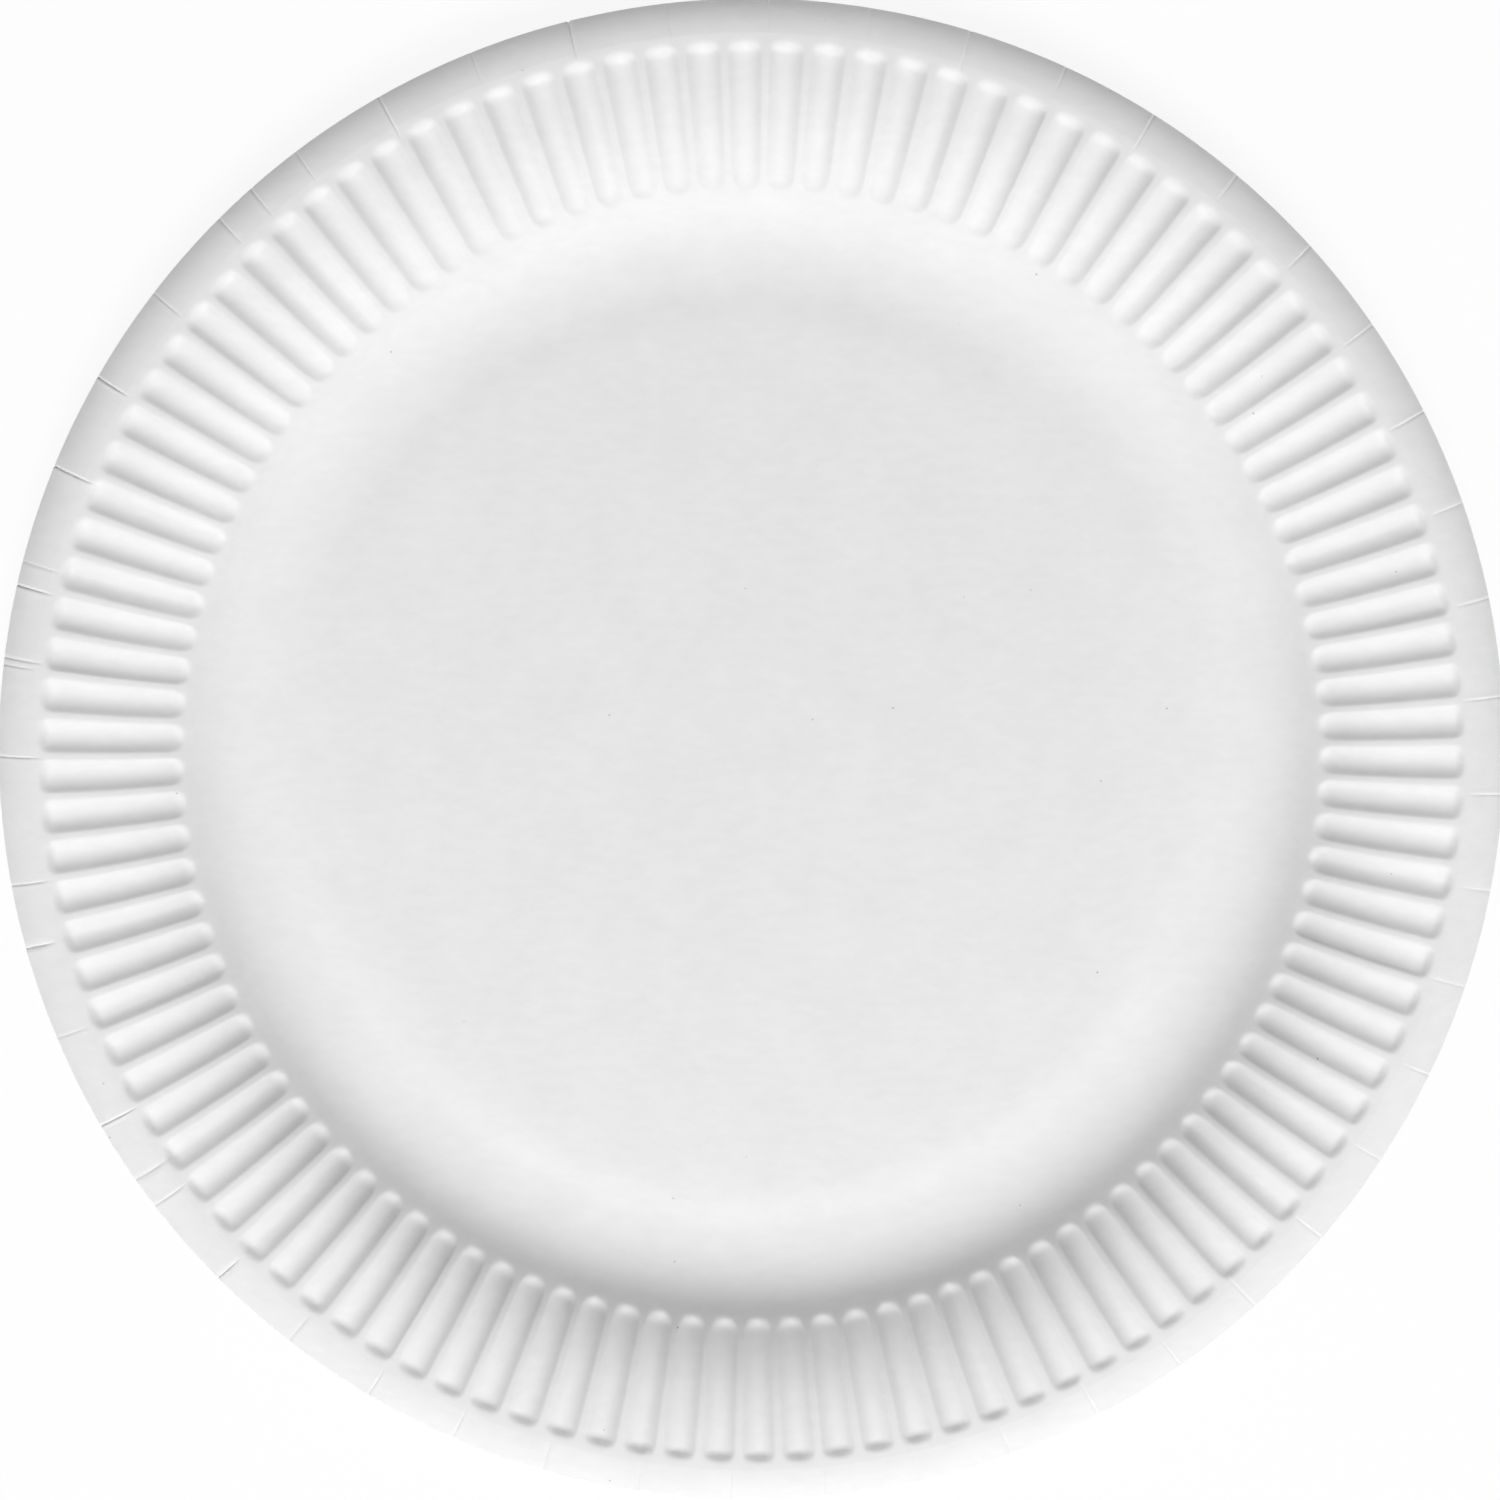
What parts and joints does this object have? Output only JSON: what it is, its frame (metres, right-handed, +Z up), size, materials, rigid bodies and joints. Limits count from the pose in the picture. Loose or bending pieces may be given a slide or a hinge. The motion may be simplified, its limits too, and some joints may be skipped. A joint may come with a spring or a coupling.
{
  "type": "paper plate",
  "caption": "Round white paper plate with a raised middle, a rising wall, fine radial flutes on its rim and a turned down lip, for serving food.",
  "frame": {"origin": "centre of the flat ring that the plate stands on, at its underside", "axes": "+Z up along the plate's axis, eating side up"},
  "size_m": [0.23, 0.23, 0.0122],
  "materials": {
    "paperboard": "matt, uncoated white paperboard"
  },
  "bodies": {
    "root": {"plate": "paperboard"}
  },
  "joints": []
}
